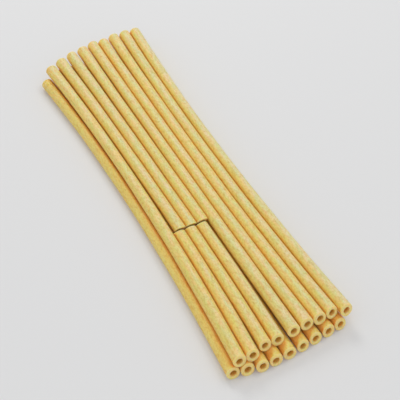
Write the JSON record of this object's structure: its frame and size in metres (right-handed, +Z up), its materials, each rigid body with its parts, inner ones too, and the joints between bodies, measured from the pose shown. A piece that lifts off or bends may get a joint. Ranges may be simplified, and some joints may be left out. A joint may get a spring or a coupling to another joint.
{
  "type": "bundle of long dry hollow pasta",
  "caption": "Bundle of long dry pasta tubes lying flat in two layers, a little wider at both ends, with part of the upper layer snapped across.",
  "frame": {"origin": "under the middle of the bundle, on the surface that it lies on", "axes": "+X along the strands, towards the ends that stand out furthest in the lower layer; +Z up"},
  "size_m": [0.268, 0.0772, 0.0136],
  "materials": {
    "pasta": "dry durum pasta, pale golden yellow, smooth with a soft satin sheen and a slightly grainy skin"
  },
  "bodies": {
    "root": {"pasta_bundle": "pasta"}
  },
  "joints": []
}
